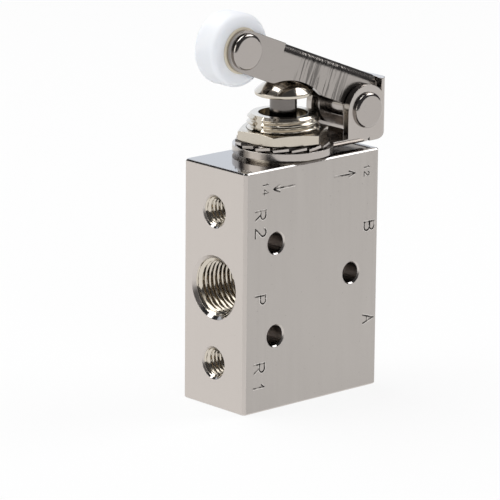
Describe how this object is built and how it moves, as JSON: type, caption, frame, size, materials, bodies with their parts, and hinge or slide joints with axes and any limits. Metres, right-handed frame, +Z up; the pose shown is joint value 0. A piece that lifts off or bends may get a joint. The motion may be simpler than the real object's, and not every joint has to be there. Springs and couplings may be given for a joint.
{
  "type": "roller lever air valve",
  "caption": "Compact air valve block with threaded ports, worked by a roller lever that presses a spring-returned mushroom button through a threaded neck.",
  "frame": {"origin": "middle of the valve block's bottom face, on the spool's axis", "axes": "+Z up along the spool towards the button; -X towards the supply port and the roller, +X towards the outlet ports and the lever's pivot; -Y towards the marked broad face"},
  "size_m": [0.0368, 0.0166, 0.0656],
  "materials": {
    "block": "satin nickel plate with a fine brushed grain",
    "polished": "bright turned nickel plate",
    "button": "polished nickel plate",
    "nut": "bright nickel plate",
    "washer": "plated spring steel",
    "bracket": "nickel plated folded sheet",
    "lever": "nickel plated folded sheet with light scratches",
    "rivet": "nickel plated, faces lightly worn",
    "roller": "white acetal, slightly translucent",
    "thin_washer": "cream nylon",
    "seal": "black nitrile",
    "spool": "turned and anodised",
    "plug": "nickel plated brass",
    "spring": "spring steel wire"
  },
  "bodies": {
    "housing": {"body": "block", "gland": "polished", "gland_o_ring": "seal", "rod_seal": "seal", "bottom_plug": "plug", "plug_o_ring": "seal", "return_spring": "spring", "bracket": "bracket", "lock_washer": "washer", "hex_nut": "nut", "pivot_pin": "rivet"},
    "lever": {"lever": "lever", "roller_pin": "rivet", "roller_washer_near": "thin_washer", "roller_washer_far": "thin_washer"},
    "roller": {"roller": "roller"},
    "plunger": {"button": "button", "plunger": "polished", "spool": "spool", "spool_seal_1": "seal", "spool_seal_2": "seal", "spool_seal_3": "seal", "spool_seal_4": "seal"}
  },
  "joints": [
    {"name": "lever_hinge", "type": "hinge", "parent": "housing", "child": "lever", "pos_m": [0.0142, 0, 0.0466], "axis": [0, -1, 0], "range_deg": [0, 10], "stiffness_Nm_per_rad": 0.2836, "springref_deg": -20.83},
    {"name": "plunger_slide", "type": "slide", "parent": "housing", "child": "plunger", "axis": [0, 0, -1], "range_m": [0, 0.0024], "deforming": ["return_spring"]},
    {"name": "roller_spin", "type": "hinge", "parent": "lever", "child": "roller", "pos_m": [-0.01161, 0, 0.05954], "axis": [0, -1, 0], "continuous": true}
  ],
  "couplings": [
    {"joint": "plunger_slide", "follows": "lever_hinge", "m_per_rad": 0.01375}
  ]
}
